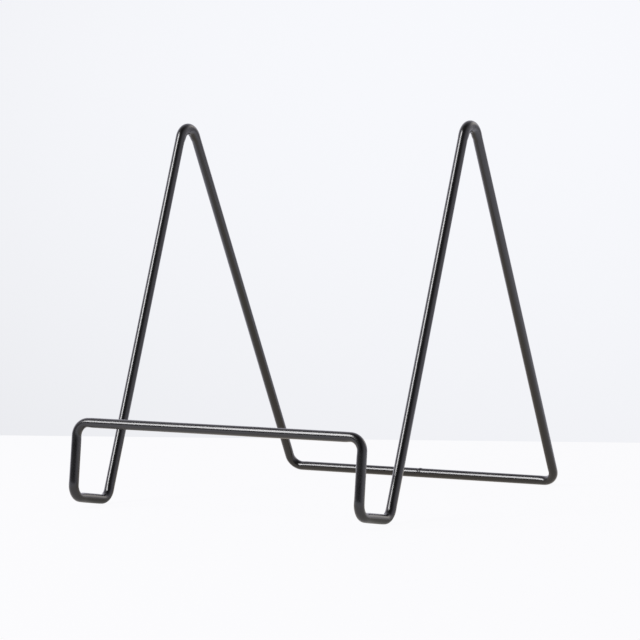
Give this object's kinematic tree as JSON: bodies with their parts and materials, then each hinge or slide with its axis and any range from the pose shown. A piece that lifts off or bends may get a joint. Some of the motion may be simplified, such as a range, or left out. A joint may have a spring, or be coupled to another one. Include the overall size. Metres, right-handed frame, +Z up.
{
  "type": "album stand",
  "caption": "Display stand of bent round wire: a ledge with a low front lip holds the foot of an album, and leaning uprights with splayed rear legs hold its back.",
  "frame": {"origin": "on the table, in the middle of the stand's outline seen from above", "axes": "+Z up, +Y to the back where the rear rail lies, +X to the right of someone who faces the open album"},
  "size_m": [0.1394, 0.1744, 0.1558],
  "materials": {
    "black_lacquer": "gloss black lacquer with a faint orange peel over drawn steel wire",
    "weld_lacquer": "the same lacquer over a dressed butt weld, slightly duller and rougher"
  },
  "bodies": {
    "root": {"front_lip_rail": "black_lacquer", "lip_corner_left": "black_lacquer", "lip_corner_right": "black_lacquer", "lip_post_left": "black_lacquer", "lip_post_right": "black_lacquer", "toe_bend_left": "black_lacquer", "toe_bend_right": "black_lacquer", "foot_run_left": "black_lacquer", "foot_run_right": "black_lacquer", "heel_bend_left": "black_lacquer", "heel_bend_right": "black_lacquer", "front_upright_left": "black_lacquer", "front_upright_right": "black_lacquer", "apex_bend_left": "black_lacquer", "apex_bend_right": "black_lacquer", "rear_leg_left": "black_lacquer", "rear_leg_right": "black_lacquer", "rear_corner_left": "black_lacquer", "rear_corner_right": "black_lacquer", "rear_rail_left": "black_lacquer", "rear_rail_right": "black_lacquer", "butt_weld": "weld_lacquer"}
  },
  "joints": []
}
